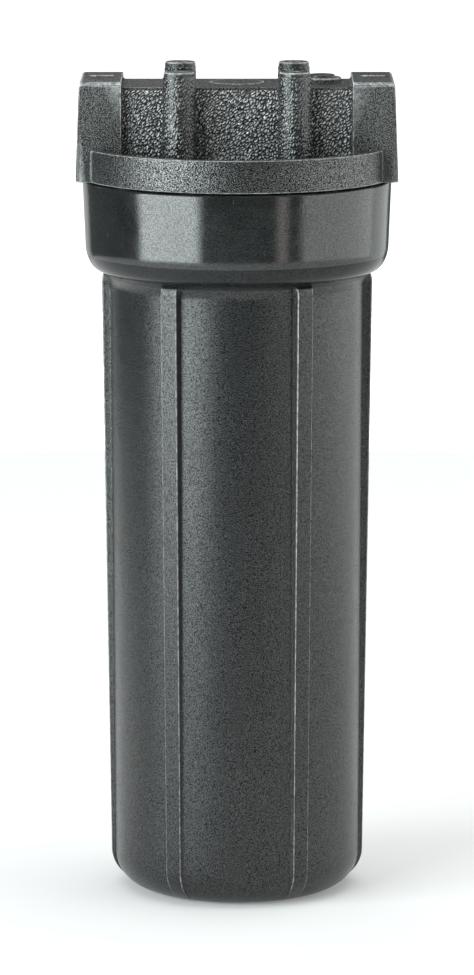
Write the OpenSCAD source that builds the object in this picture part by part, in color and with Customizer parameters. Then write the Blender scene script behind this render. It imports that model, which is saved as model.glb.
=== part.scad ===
/* [Sump] */
// Height of the sump, from its flat base to the top of its collar
sump_h = 264.9; // [262:0.1:268]
// Outer radius of the sump wall just above the base
sump_r_low = 45.6; // [45.2:0.1:45.8]
// Outer radius of the sump wall just below the neck
sump_r_high = 46.8; // [46.5:0.1:47.2]
// Radius that rounds the base into the wall
base_round = 13; // [12:0.5:14]
// Inner radius of the sump just above the floor
bowl_r_low = 41; // [40.5:0.1:41.4]
// Inner radius of the sump at the neck
bowl_r_high = 42.2; // [41.8:0.1:42.6]
// Thickness of the floor
floor_t = 5; // [4.5:0.5:5.5]
// Outer radius of the collar at its top edge
collar_r_high = 56.7; // [56.5:0.1:56.9]
// Outer radius of the collar where its lower edge starts to round
collar_r_low = 55.8; // [55.6:0.1:56.2]
// Width of the collar's rounded lower edge
collar_round = 6; // [5.5:0.5:6]
// Height of the collar's rounded lower edge
collar_round_h = 10; // [8:0.5:11]
// Height of the collar's straight side
collar_h = 23.4; // [22.4:0.1:24.4]
// Radius of the neck below the collar
neck_r = 50; // [49.6:0.1:50.4]
// Number of ribs round the sump
rib_count = 6; // [4:1:8]
// Width of one rib
rib_w = 6.7; // [5:0.1:8]
// Radius over the ribs just above the base
rib_r_low = 46.9; // [46.6:0.1:47.4]
// Radius over the ribs at the neck
rib_r_high = 49.9; // [49.4:0.1:49.9]

/* [Head] */
// Distance between the two port faces, measured at their lower edges
head_w = 117.5; // [117:0.5:119]
// Radius of the rim
rim_r = 57; // [56.8:0.1:57.4]
// Thickness of the rim
rim_t = 11.8; // [11:0.2:12.4]
// Thickness of the rim's upstanding wall
rim_wall = 3.8; // [3:0.1:4.5]
// Depth of the deck below the top of the rim
deck_drop = 5; // [2:0.5:6]
// Gap between the rim and the sump's collar when screwed home
rim_gap = 0.7; // [0.5:0.1:1]
// Depth of the port blocks from front to back
port_block_d = 42.6; // [40:0.2:44]
// Height of the port blocks above the rim
port_block_h = 24.8; // [24:0.2:26]
// Half of the length between the port blocks' inner sides
port_block_x = 42; // [41:0.5:43]
// Slope of the port faces, as the amount they lean in at the top
port_face_draft = 1.35; // [0.5:0.05:1.6]
// Radius of the port blocks' rounded edges
port_block_round = 1.5; // [1:0.25:3]
// Depth of the centre block from front to back
web_d = 34.4; // [32:0.2:36]
// Height of the centre block above the rim
web_h = 22.6; // [22:0.2:24]
// Distance between screw columns, the same both ways
column_spacing = 42; // [41:0.5:43]
// Height of the screw columns above the rim
column_h = 28.6; // [27:0.2:30]
// Radius of the round pad on top of the centre block
pad_r = 10; // [8:0.5:12]
// Height of the pad and of the flow arrows
mark_h = 0.5; // [0.3:0.1:0.8]
// Radius of a screw column at its top
column_r_high = 5.6; // [5:0.1:6]
// Radius of a screw column at the deck
column_r_low = 6.2; // [6:0.1:6.6]
// Radius of a mounting screw's pilot hole
screw_hole_r = 2; // [1.6:0.1:2.4]
// Depth of a mounting screw's pilot hole
screw_hole_depth = 20; // [12:1:22]

/* [Ports] */
// Radius of the port thread's wall
port_r = 12; // [11.6:0.1:12.3]
// Length of the threaded port wall
port_depth = 18; // [16:1:19]
// Radius of the passages behind the ports
passage_r = 9; // [8:0.5:9.5]
// Radius of the hole that lets water down into the sump
inlet_drop_r = 7; // [6:0.5:8]
// Radius of the bore through the outlet nozzle
nozzle_bore_r = 9; // [7.5:0.5:9]
// Outer radius of the outlet nozzle
nozzle_r = 12.6; // [12:0.1:13]

/* [Screw thread] */
// Rise of the thread in one turn
thread_pitch = 6.35; // [6.2:0.05:6.5]
// Number of turns of thread on each part
thread_turns = 2.75; // [2.25:0.25:2.75]
// Outer radius of the head's skirt, which is its thread's root
skirt_r = 49.2; // [49:0.1:49.3]
// Inner radius of the head's skirt
skirt_bore_r = 44.5; // [44:0.1:44.8]
// Radius of the collar's bore, which is its thread's root
collar_bore_r = 51.9; // [51.8:0.1:52]
// Height of a thread ridge above its root
thread_h = 2.1; // [1.8:0.1:2.2]
// Width of a thread ridge at its crest
thread_crest_w = 2; // [1.6:0.1:2]

/* [Seals] */
// Thickness of the sump's O-ring
o_ring_d = 3.53; // [3.4:0.01:3.6]
// Radius of the middle of the sump's O-ring
o_ring_r = 46.4; // [46.2:0.1:46.6]

/* [Relief valve] */
// Distance of the relief valve from the middle of the head
relief_x = 31; // [30:0.5:32]
// Radius of the ring boss round the button
relief_boss_r = 7.3; // [7:0.1:8]
// Height of the ring boss above the centre block
relief_boss_h = 2.3; // [2:0.1:3]
// Radius of the button
button_r = 4.85; // [4.6:0.05:4.9]
// How far the button can be pressed
button_travel = 1.8; // [1.4:0.1:1.8]
// Radius of the button's stem
stem_r = 1.7; // [1.5:0.05:1.8]
// Thickness of the valve's O-ring
valve_ring_d = 1.5; // [1.3:0.1:1.6]

/* [Cartridge] */
// Outer radius of the cartridge
cartridge_r = 31.75; // [31.5:0.05:32]
// Radius of the hole through the cartridge
cartridge_bore_r = 14.3; // [14:0.1:14.6]
// Length of the cartridge, with its gaskets
cartridge_h = 248; // [247:0.5:248.5]
// Thickness of each gasket
gasket_t = 3; // [2.5:0.5:3.5]
// Thickness of each end cap
cap_t = 3; // [2.5:0.5:4]
// Number of pleats
pleat_count = 40; // [30:1:44]
// Thickness of the folded medium
pleat_t = 0.6; // [0.4:0.05:0.7]
// Rows of holes along the core
core_rows = 13; // [8:1:16]
// Radius of the core's holes
core_hole_r = 3; // [2:0.5:3.5]

/* [Hidden] */
$fn = 96;

// small overlap that makes joined shapes one solid, and lets a cut pass its face
eps = 0.5;
// gap that keeps a seal just clear of the part that moves past it
seal_gap = 0.05;

// heights in the sump
collar_side_z = sump_h - collar_h;
collar_under_z = collar_side_z - collar_round_h;
flare_w = neck_r - sump_r_high;
flare_h = 6;
flare_r = (flare_w * flare_w + flare_h * flare_h) / (2 * flare_w);
flare_z = collar_under_z - flare_h;
rib_top = collar_under_z - 1.8;
bowl_round = base_round - 4;
edge_round = 0.5;

// heights in the head
rim_z = sump_h + rim_gap;
rim_top = rim_z + rim_t;
deck_z = rim_top - deck_drop;
ceiling_z = rim_z + 2.4;
web_top = rim_top + web_h;
port_block_top = rim_top + port_block_h;
port_z = (rim_z + port_block_top) / 2;
column_top = rim_top + column_h;

// sump seal: groove floor, the ledge it is cut into, and the skirt's lower edge
groove_w = o_ring_d + 0.7;
groove_z = collar_under_z + 4.5;
ledge_z = groove_z + o_ring_d - 0.7;
skirt_z = groove_z + o_ring_d + 2 * seal_gap;

// thread ridges: flank slope, and the height of each ridge's middle where it starts
thread_flank = 0.48;
thread_steps = 36;
run_out_steps = 4;
head_thread_z = skirt_z + 4.4;
sump_thread_z = head_thread_z - thread_pitch / 2;

// ports
port_face_x = head_w / 2 - port_face_draft + 0.2;
port_spot_r = 17;
port_inner_x = port_face_x - port_depth;

// cartridge
cartridge_z = 13;
cartridge_top = cartridge_z + cartridge_h;
medium_z = cartridge_z + gasket_t + cap_t;
medium_h = cartridge_h - 2 * (gasket_t + cap_t);
core_wall = 2.2;
core_r = cartridge_bore_r + core_wall;
sleeve_t = 0.7;
lip_t = 0.7;
lip_h = 4;
sleeve_r = cartridge_r - lip_t;
pleat_r_out = sleeve_r - sleeve_t - 0.3;
pleat_r_in = core_r + 1;
gasket_r = 24;
seat_r = 17.5;
seat_w = 2.4;
seat_tip_w = 0.8;
fin_count = 6;
fin_w = 3;

// relief valve
counterbore_gap = 0.35;
counterbore_r = button_r + counterbore_gap;
counterbore_z = web_top - 2.7;
button_top = web_top + relief_boss_h + 0.9;
button_z = web_top + 0.4;
stem_fit = 0.05;
chamber_r = 3.5;
chamber_z = counterbore_z - 1.8;
valve_ring_r = stem_r + valve_ring_d / 2;
retainer_t = 1.5;
retainer_r = chamber_r - 0.4;
retainer_top = chamber_z - seal_gap - valve_ring_d;
retainer_groove_r = stem_r - 0.5;
stem_end_z = retainer_top - retainer_t - 1.4;
wire_r = 0.25;
spring_r = 3.4;
spring_turns = 3.5;
spring_h = button_z - counterbore_z;

// points on an arc in a revolved or extruded outline
function arc(x, y, r, from, to, n = 8) = oval(x, y, r, r, from, to, n);

// the same on an ellipse
function oval(x, y, rx, ry, from, to, n = 8) =
    [for (i = [0:n]) let (a = from + (to - from) * i / n) [x + rx * cos(a), y + ry * sin(a)]];

// outline of a w by h box standing on y = 0, with its two upper corners rounded
function rounded_top(w, h, r) =
    concat([[-w / 2, 0], [w / 2, 0]], arc(w / 2 - r, h - r, r, 0, 90, 5),
        arc(-w / 2 + r, h - r, r, 90, 180, 5));

module ring(r_out, r_in, z, h) {
    translate([0, 0, z]) rotate_extrude() translate([r_in, 0]) square([r_out - r_in, h]);
}

module torus(r, d, z) {
    translate([0, 0, z]) rotate_extrude() translate([r, 0]) circle(d = d, $fn = 32);
}

// a drilled hole along X, from x0 to x1, at height z
module bore_x(r, x0, x1, z) {
    translate([min(x0, x1), 0, z]) rotate([0, 90, 0]) cylinder(r = r, h = abs(x1 - x0));
}

// side faces of a tube of n-point rings, and its two end caps
function tube_faces(n, last) = concat(
    [for (i = [0:last - 1]) for (k = [0:n - 1])
        let (k2 = (k + 1) % n) [i * n + k, i * n + k2, (i + 1) * n + k2]],
    [for (i = [0:last - 1]) for (k = [0:n - 1])
        let (k2 = (k + 1) % n) [i * n + k, (i + 1) * n + k2, (i + 1) * n + k]],
    [[for (k = [n - 1:-1:0]) k]],
    [[for (k = [0:n - 1]) last * n + k]]
);

// One thread ridge. side is 1 where it stands outwards and -1 where it stands inwards.
// Its tip sinks below the root surface at both ends, so that it runs out.
module thread_ridge(root_r, side, z) {
    steps = ceil(thread_turns * thread_steps);
    function tip_r(i) =
        root_r + side * thread_h * (1.2 * min(1, min(i, steps - i) / run_out_steps) - 0.2);
    function half_w(r) =
        thread_crest_w / 2 + thread_flank * (thread_h - side * (r - root_r));
    function section(i) =
        let (a = 360 * i / thread_steps, zc = z + thread_pitch * i / thread_steps,
            foot = root_r - side * 0.8, tip = tip_r(i))
        [for (p = [[foot, -half_w(foot)], [tip, -half_w(tip)], [tip, half_w(tip)], [foot, half_w(foot)]])
            [p[0] * cos(a), p[0] * sin(a), zc + p[1]]];
    points = [for (i = [0:steps]) each section(i)];
    faces = tube_faces(4, steps);
    polyhedron(points, side > 0 ? faces : [for (f = faces) [for (k = [len(f) - 1:-1:0]) f[k]]]);
}

// ---------- sump ----------

module sump_outer() {
    rotate_extrude() polygon(concat(
        [[0, 0]],
        arc(sump_r_low - base_round, base_round, base_round, -90, 0, 10),
        arc(sump_r_high + flare_r, flare_z, flare_r, 180, 180 - 2 * atan(flare_w / flare_h), 5),
        oval(collar_r_low - collar_round, collar_side_z, collar_round, collar_round_h, -82, 0, 8),
        [[collar_r_high, sump_h - edge_round], [collar_r_high - edge_round, sump_h], [0, sump_h]]
    ));
}

module sump_bowl() {
    rotate_extrude() polygon(concat(
        [[0, floor_t]],
        arc(bowl_r_low - bowl_round, floor_t + bowl_round, bowl_round, -90, 0, 8),
        [[bowl_r_high, ledge_z - eps], [bowl_r_high, ledge_z + eps], [0, ledge_z + eps]]
    ));
}

// rib that follows the wall's slope, and the base's rounding pushed out by the rib's height
module sump_rib() {
    foot_r = sump_r_low - base_round - 1;
    translate([0, rib_w / 2, 0]) rotate([90, 0, 0]) linear_extrude(rib_w) polygon(concat(
        [[foot_r, 0]],
        arc(rib_r_low - base_round, base_round, base_round, -90, 0, 10),
        [[rib_r_high, rib_top], [foot_r, rib_top]]
    ));
}

// fin on the floor that stands clear under the cartridge and centres it at its rim
module sump_fin() {
    stop_r = cartridge_r + 0.7;
    translate([0, fin_w / 2, 0]) rotate([90, 0, 0]) linear_extrude(fin_w) polygon([
        [seat_r, floor_t - eps], [seat_r, cartridge_z - 2], [stop_r, cartridge_z - 2],
        [stop_r, cartridge_z + 7], [stop_r + 2, cartridge_z + 11],
        [bowl_r_low + 1, cartridge_z + 11], [bowl_r_low + 1, floor_t + bowl_round],
        [bowl_r_low - bowl_round, floor_t - eps]
    ]);
}

module sump_seat() {
    rotate_extrude() polygon([
        [seat_r - seat_w / 2, floor_t - eps], [seat_r + seat_w / 2, floor_t - eps],
        [seat_r + seat_tip_w / 2, cartridge_z], [seat_r - seat_tip_w / 2, cartridge_z]
    ]);
}

module sump() {
    color("#26292a") {
        difference() {
            union() {
                sump_outer();
                for (i = [0:rib_count - 1]) rotate([0, 0, (i + 0.5) * 360 / rib_count - 90]) sump_rib();
            }
            sump_bowl();
            translate([0, 0, ledge_z]) cylinder(r = collar_bore_r, h = sump_h);
            ring(o_ring_r + groove_w / 2, o_ring_r - groove_w / 2, groove_z, o_ring_d);
        }
        for (i = [0:fin_count - 1]) rotate([0, 0, i * 360 / fin_count]) sump_fin();
        sump_seat();
        thread_ridge(collar_bore_r, -1, sump_thread_z);
    }
}

module sump_o_ring() {
    color("#141414") torus(o_ring_r, o_ring_d, groove_z + seal_gap + o_ring_d / 2);
}

// ---------- head ----------

module head_plate() {
    rotate_extrude() polygon([
        [0, ceiling_z], [skirt_bore_r, ceiling_z], [skirt_bore_r, skirt_z], [skirt_r, skirt_z],
        [skirt_r, rim_z], [rim_r, rim_z], [rim_r, rim_top - edge_round],
        [rim_r - edge_round, rim_top], [rim_r - rim_wall, rim_top], [rim_r - rim_wall, deck_z],
        [0, deck_z]
    ]);
}

// block that holds one port, at +X: three outlines crossed, each rounding two of its edges
module port_block() {
    block_h = rim_t + port_block_h;
    block_l = head_w / 2 - port_block_x;
    side = [
        [port_block_x, rim_z], [head_w / 2, rim_z],
        each arc(head_w / 2 - port_face_draft - port_block_round,
            rim_z + block_h - port_block_round, port_block_round, 0, 90, 5),
        [port_block_x, rim_z + block_h]
    ];
    intersection() {
        translate([0, port_block_d / 2, 0]) rotate([90, 0, 0]) linear_extrude(port_block_d) polygon(side);
        translate([port_block_x, 0, rim_z]) rotate([90, 0, 90])
            linear_extrude(block_l) polygon(rounded_top(port_block_d, block_h, port_block_round));
        translate([port_block_x, 0, rim_z]) rotate([0, 0, -90])
            linear_extrude(block_h) polygon(rounded_top(port_block_d, block_l, port_block_round));
    }
}

// raised marks: a round pad in the middle, and an arrow on each port block the way the water flows
module top_marks() {
    arrow_l = 9;
    arrow_w = 5;
    shaft_w = 1.8;
    arrow_x = (port_block_x + head_w / 2) / 2 - port_block_round / 2;
    translate([0, 0, web_top - eps]) cylinder(r = pad_r, h = mark_h + eps);
    for (side = [-1, 1])
        translate([side * arrow_x, 0, port_block_top - eps]) linear_extrude(mark_h + eps) polygon([
            [-arrow_l / 2, 0], [-arrow_l / 2 + arrow_w / 2, -arrow_w / 2],
            [-arrow_l / 2 + arrow_w / 2, -shaft_w / 2], [arrow_l / 2, -shaft_w / 2],
            [arrow_l / 2, shaft_w / 2], [-arrow_l / 2 + arrow_w / 2, shaft_w / 2],
            [-arrow_l / 2 + arrow_w / 2, arrow_w / 2]
        ]);
}

module columns() {
    for (x = [-1, 1]) for (y = [-1, 1])
        translate([x * column_spacing / 2, y * column_spacing / 2, deck_z - eps])
            cylinder(r1 = column_r_low, r2 = column_r_high, h = column_top - deck_z + eps);
}

// nozzle into the cartridge, with the tapered ring that seats on the top gasket
module nozzle() {
    nozzle_z = cartridge_top - 11;
    rotate_extrude() polygon([
        [0, nozzle_z], [nozzle_r - 1.5, nozzle_z], [nozzle_r, nozzle_z + 3],
        [nozzle_r, ceiling_z + eps], [0, ceiling_z + eps]
    ]);
    rotate_extrude() polygon([
        [seat_r - seat_w / 2, ceiling_z + eps], [seat_r + seat_w / 2, ceiling_z + eps],
        [seat_r + seat_tip_w / 2, cartridge_top + seal_gap],
        [seat_r - seat_tip_w / 2, cartridge_top + seal_gap]
    ]);
}

module relief_boss() {
    translate([relief_x, 0, web_top - eps]) rotate_extrude() polygon([
        [0, 0], [relief_boss_r, 0], [relief_boss_r, relief_boss_h + eps - edge_round],
        [relief_boss_r - edge_round, relief_boss_h + eps], [0, relief_boss_h + eps]
    ]);
}

module water_ways() {
    for (side = [-1, 1]) {
        bore_x(port_r, side * port_inner_x, side * (head_w / 2 + eps), port_z);
        bore_x(port_spot_r, side * port_face_x, side * (head_w / 2 + eps), port_z);
    }
    bore_x(passage_r, relief_x, port_inner_x + eps, port_z);
    bore_x(passage_r, -port_inner_x - eps, 0, port_z);
    for (x = [0, relief_x]) translate([x, 0, port_z]) sphere(r = passage_r);
    translate([relief_x, 0, rim_z]) cylinder(r = inlet_drop_r, h = port_z - rim_z);
    translate([0, 0, skirt_z]) cylinder(r = nozzle_bore_r, h = port_z - skirt_z);
}

module relief_bores() {
    translate([relief_x, 0, 0]) {
        translate([0, 0, counterbore_z]) cylinder(r = counterbore_r, h = 2 * relief_boss_h + spring_h);
        translate([0, 0, port_z]) cylinder(r = stem_r + stem_fit, h = counterbore_z - port_z + eps);
        translate([0, 0, port_z]) cylinder(r = chamber_r, h = chamber_z - port_z);
    }
}

module screw_holes() {
    for (x = [-1, 1]) for (y = [-1, 1])
        translate([x * column_spacing / 2, y * column_spacing / 2, column_top - screw_hole_depth])
            cylinder(r = screw_hole_r, h = screw_hole_depth + eps);
}

module head() {
    color("#2e3233") difference() {
        union() {
            head_plate();
            for (side = [0, 1]) mirror([side, 0, 0]) port_block();
            translate([-port_block_x - 1, -web_d / 2, deck_z - eps])
                cube([2 * port_block_x + 2, web_d, web_top - deck_z + eps]);
            columns();
            top_marks();
            relief_boss();
            nozzle();
            thread_ridge(skirt_r, 1, head_thread_z);
        }
        water_ways();
        relief_bores();
        screw_holes();
    }
}

// ---------- relief valve ----------

module relief_button() {
    dome = 0.6;
    color("#202122") translate([relief_x, 0, 0]) rotate_extrude() polygon([
        [0, stem_end_z], [stem_r - 0.4, stem_end_z], [stem_r, stem_end_z + 0.4],
        [stem_r, retainer_top - retainer_t], [retainer_groove_r, retainer_top - retainer_t],
        [retainer_groove_r, retainer_top], [stem_r, retainer_top], [stem_r, button_z],
        [button_r, button_z], [button_r, button_top - dome], [button_r - dome, button_top],
        [0, button_top]
    ]);
}

// closed end coils with an open stretch between them
module relief_spring() {
    closed = 0.75;
    closed_pitch = 2.2 * wire_r;
    open_pitch = (spring_h - 2 * wire_r - 2 * closed * closed_pitch) / (spring_turns - 2 * closed);
    sides = 8;
    rings_per_turn = 18;
    last = spring_turns * rings_per_turn;
    function climb(u) = closed_pitch * (min(u, closed) + max(u - spring_turns + closed, 0))
        + open_pitch * min(max(u - closed, 0), spring_turns - 2 * closed);
    points = [for (i = [0:last]) let (u = i / rings_per_turn, a = 360 * u)
        for (k = [0:sides - 1]) let (b = 360 * k / sides, r = spring_r + wire_r * cos(b))
            [r * cos(a), r * sin(a), climb(u) + wire_r * sin(b)]];
    color("silver") translate([relief_x, 0, counterbore_z + wire_r])
        polyhedron(points, [for (f = tube_faces(sides, last)) [for (k = [len(f) - 1:-1:0]) f[k]]]);
}

module relief_o_ring() {
    color("#141414") translate([relief_x, 0, 0])
        torus(valve_ring_r, valve_ring_d, retainer_top + valve_ring_d / 2);
}

module relief_retainer() {
    color("silver") translate([relief_x, 0, 0])
        ring(retainer_r, retainer_groove_r, retainer_top - retainer_t, retainer_t);
}

// ---------- cartridge ----------

module cartridge_core() {
    row_step = medium_h / (core_rows + 1);
    color("white") difference() {
        ring(core_r, cartridge_bore_r, medium_z, medium_h);
        for (row = [1:core_rows]) for (i = [0:2])
            translate([0, 0, medium_z + row * row_step]) rotate([90, 0, 60 * i + 30 * (row % 2)])
                cylinder(r = core_hole_r, h = 2 * core_r + 2, center = true);
    }
}

// The folded medium is the strip between two star outlines.
// shift moves one star's points along the radius, so that the strip is pleat_t thick.
module cartridge_pleats() {
    half_a = 180 / pleat_count;
    flank_w = (pleat_r_out + pleat_r_in) / 2 * sin(half_a);
    shift = pleat_t * (pleat_r_out - pleat_r_in) / flank_w;
    function star(r_tip, r_valley) = [for (i = [0:2 * pleat_count - 1])
        let (r = i % 2 == 0 ? r_tip : r_valley) [r * cos(i * half_a), r * sin(i * half_a)]];
    color("#f0f0e8") translate([0, 0, medium_z]) linear_extrude(medium_h) difference() {
        polygon(star(pleat_r_out, pleat_r_in + shift));
        polygon(star(pleat_r_out - shift, pleat_r_in));
    }
}

// strip pinched over the two edges of the medium, in the valley next to the first pleat
module cartridge_seam_clip() {
    clip_w = 1.2;
    clip_r = pleat_r_out - 2.5;
    half_a = 180 / pleat_count;
    color("#f4f4f4") rotate([0, 0, half_a]) translate([clip_r, -clip_w / 2, medium_z])
        cube([2.5, clip_w, medium_h]);
}

module cartridge_sleeve() {
    color("#e8ecee") ring(sleeve_r, sleeve_r - sleeve_t, medium_z, medium_h);
}

module cartridge_cap() {
    rotate_extrude() polygon([
        [cartridge_bore_r, 0], [cartridge_r - 0.6, 0], [cartridge_r, 0.6], [cartridge_r, cap_t + lip_h],
        [cartridge_r - lip_t, cap_t + lip_h], [cartridge_r - lip_t, cap_t], [cartridge_bore_r, cap_t]
    ]);
}

module cartridge_bottom_cap() {
    color("#2f4f8f") translate([0, 0, cartridge_z + gasket_t]) cartridge_cap();
}

module cartridge_top_cap() {
    color("#2f4f8f") translate([0, 0, cartridge_top - gasket_t]) mirror([0, 0, 1]) cartridge_cap();
}

module cartridge_top_gasket() {
    color("#202020") ring(gasket_r, cartridge_bore_r, cartridge_top - gasket_t, gasket_t);
}

module cartridge_bottom_gasket() {
    color("#202020") ring(gasket_r, cartridge_bore_r, cartridge_z, gasket_t);
}

head();
sump();
sump_o_ring();
relief_button();
relief_spring();
relief_o_ring();
relief_retainer();
cartridge_core();
cartridge_pleats();
cartridge_seam_clip();
cartridge_sleeve();
cartridge_top_cap();
cartridge_bottom_cap();
cartridge_top_gasket();
cartridge_bottom_gasket();
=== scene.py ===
"""Looks of the cartridge filter housing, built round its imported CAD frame.

The object's own sizes are in millimetres, and MM turns them into metres. The camera's place, the lights and
the floor are in metres.
"""

import math

import bmesh
import bpy
import numpy as np
from mathutils import Matrix, Vector, noise


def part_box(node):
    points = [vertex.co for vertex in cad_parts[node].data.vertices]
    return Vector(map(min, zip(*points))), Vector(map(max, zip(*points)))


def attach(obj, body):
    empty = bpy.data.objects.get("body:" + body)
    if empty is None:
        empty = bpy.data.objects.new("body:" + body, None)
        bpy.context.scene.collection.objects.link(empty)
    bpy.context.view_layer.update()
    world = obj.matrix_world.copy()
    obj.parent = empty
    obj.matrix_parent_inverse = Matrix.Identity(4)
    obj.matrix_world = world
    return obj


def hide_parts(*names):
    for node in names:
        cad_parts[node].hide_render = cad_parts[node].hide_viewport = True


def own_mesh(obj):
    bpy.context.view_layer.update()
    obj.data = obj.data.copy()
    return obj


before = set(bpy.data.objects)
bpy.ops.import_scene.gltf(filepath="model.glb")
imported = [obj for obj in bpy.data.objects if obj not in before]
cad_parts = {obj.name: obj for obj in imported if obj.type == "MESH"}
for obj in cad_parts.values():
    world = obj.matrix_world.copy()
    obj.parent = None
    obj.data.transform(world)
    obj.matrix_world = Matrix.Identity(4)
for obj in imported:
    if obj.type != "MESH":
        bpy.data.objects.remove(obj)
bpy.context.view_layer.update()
MM = 0.001
TAU = 2 * math.pi

sump_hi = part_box("sump")[1]
head_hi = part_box("head")[1]


# ---------- camera, light and floor ----------

camera_distance, camera_height, camera_tilt = 2.0, 0.4908, 9.68
camera_lens, camera_sensor = 202, 36
floor_radius, floor_glow, floor_drop = 9, 1.0, 0.0005
floor_near_radius, floor_near_glow = 1.0, 0.155
floor_tone, floor_rough = 0.86, 0.8
room_tint, room_light = (0.9, 1.0, 0.98, 1), 0.13


def add_camera():
    data = bpy.data.cameras.new("camera")
    data.sensor_width = camera_sensor
    data.lens = camera_lens
    data.clip_end = 100
    cam = bpy.data.objects.new("camera", data)
    cam.location = (0, -camera_distance, camera_height)
    cam.rotation_euler = (math.radians(90 - camera_tilt), 0, 0)
    bpy.context.scene.collection.objects.link(cam)
    bpy.context.scene.camera = cam


def box_mm(node):
    """Lowest and highest corners of a CAD node, in millimetres."""
    return [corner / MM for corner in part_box(node)]


def full_turn(count):
    """Evenly spaced angles round a circle."""
    return [TAU * i / count for i in range(count)]


def around(azimuth, distance, z):
    """A point round the object. Azimuth 0 is the front and 90 the right, as the camera sees it."""
    a = math.radians(azimuth)
    return Vector((distance * math.sin(a), -distance * math.cos(a), z))


def soft_box(name, azimuth, distance, z, width, height, radiance, color=(1, 1, 1)):
    """Upright rectangular light with its middle at height z, which faces the object's axis."""
    data = bpy.data.lights.new(name, "AREA")
    data.shape = "RECTANGLE"
    data.size, data.size_y = width, height
    data.energy = radiance * math.pi * width * height
    data.color = color
    light = bpy.data.objects.new(name, data)
    light.location = around(azimuth, distance, z)
    aim = Vector((0, 0, z)) - light.location
    light.rotation_euler = aim.to_track_quat("-Z", "Y").to_euler()
    bpy.context.scene.collection.objects.link(light)


def top_light(y, z, size, radiance):
    """Square light over the object, which faces down."""
    data = bpy.data.lights.new("top_light", "AREA")
    data.shape = "SQUARE"
    data.size = size
    data.energy = radiance * math.pi * size * size
    light = bpy.data.objects.new("top_light", data)
    light.location = (0, y, z)
    bpy.context.scene.collection.objects.link(light)


def add_lights():
    soft_box("key_left", azimuth=-52.5, distance=1.5, z=0.35, width=1.37, height=1.5, radiance=6.7,
             color=(0.91, 1.0, 1.01))
    soft_box("strip_right", azimuth=34, distance=1.6, z=0.3, width=0.2, height=1.2, radiance=1.8,
             color=(1.0, 0.9, 0.85))
    soft_box("panel_right", azimuth=85, distance=1.5, z=0.35, width=2.2, height=1.6, radiance=1.95,
             color=(0.95, 1.0, 0.97))
    soft_box("panel_back_right", azimuth=138, distance=1.6, z=0.35, width=0.95, height=1.6, radiance=1.1,
             color=(0.95, 1.0, 0.97))
    soft_box("panel_back_left", azimuth=-163, distance=1.6, z=0.35, width=0.9, height=1.4, radiance=0.6)
    top_light(y=0.4, z=1.8, size=2.4, radiance=1.6)


def add_world():
    """White backdrop where the camera looks past the floor, and a dim room for everything else."""
    world = bpy.data.worlds.new("studio")
    bpy.context.scene.world = world
    world.use_nodes = True
    nodes, links = world.node_tree.nodes, world.node_tree.links
    nodes.clear()
    out = nodes.new("ShaderNodeOutputWorld")
    path = nodes.new("ShaderNodeLightPath")
    seen = nodes.new("ShaderNodeBackground")
    room = nodes.new("ShaderNodeBackground")
    mix = nodes.new("ShaderNodeMixShader")
    seen.inputs["Color"].default_value = (1, 1, 1, 1)
    room.inputs["Color"].default_value = room_tint
    room.inputs["Strength"].default_value = room_light
    links.new(path.outputs["Is Camera Ray"], mix.inputs[0])
    links.new(room.outputs[0], mix.inputs[1])
    links.new(seen.outputs[0], mix.inputs[2])
    links.new(mix.outputs[0], out.inputs["Surface"])


def floor_disc(name, radius, glow, sides=64):
    """Pale floor disc, with some light of its own."""
    mesh = bpy.data.meshes.new(name)
    ring = [(radius * math.cos(a), radius * math.sin(a), 0) for a in full_turn(sides)]
    mesh.from_pydata(ring, [], [list(range(sides))])
    obj = bpy.data.objects.new(name, mesh)
    bpy.context.scene.collection.objects.link(obj)
    mat = bpy.data.materials.new(name)
    mat.use_nodes = True
    shader = mat.node_tree.nodes["Principled BSDF"]
    shader.inputs["Base Color"].default_value = (floor_tone, floor_tone, floor_tone, 1)
    shader.inputs["Roughness"].default_value = floor_rough
    shader.inputs["Emission Color"].default_value = (1, 1, 1, 1)
    shader.inputs["Emission Strength"].default_value = glow
    mesh.materials.append(mat)
    return obj


def add_floor():
    """Near disc that takes the object's shadow, on a wide one as white as the backdrop."""
    floor = floor_disc("floor", floor_radius, floor_glow)
    floor.location.z = -floor_drop
    floor.visible_glossy = False
    floor_disc("floor_near", floor_near_radius, floor_near_glow)


bpy.context.scene.view_settings.view_transform = "Standard"
add_camera()
add_lights()
add_world()
add_floor()


# ---------- mesh helpers ----------

def arc(cx, cy, r, start, end, n, ry=None):
    """Points on an arc, in millimetres and degrees. ry makes it a part of an ellipse."""
    angles = [math.radians(start + (end - start) * i / n) for i in range(n + 1)]
    return [(cx + r * math.cos(a), cy + (ry or r) * math.sin(a)) for a in angles]


def line(start, end, n):
    """n points from just after start up to end."""
    return [tuple(a + (b - a) * i / n for a, b in zip(start, end)) for i in range(1, n + 1)]


def add_object(name, mesh, sharp_deg=35):
    """Smooth-shaded object whose edges stay sharp where they bend more than sharp_deg."""
    mesh.polygons.foreach_set("use_smooth", [True] * len(mesh.polygons))
    mesh.set_sharp_from_angle(angle=math.radians(sharp_deg))
    obj = bpy.data.objects.new(name, mesh)
    bpy.context.scene.collection.objects.link(obj)
    return obj


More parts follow.
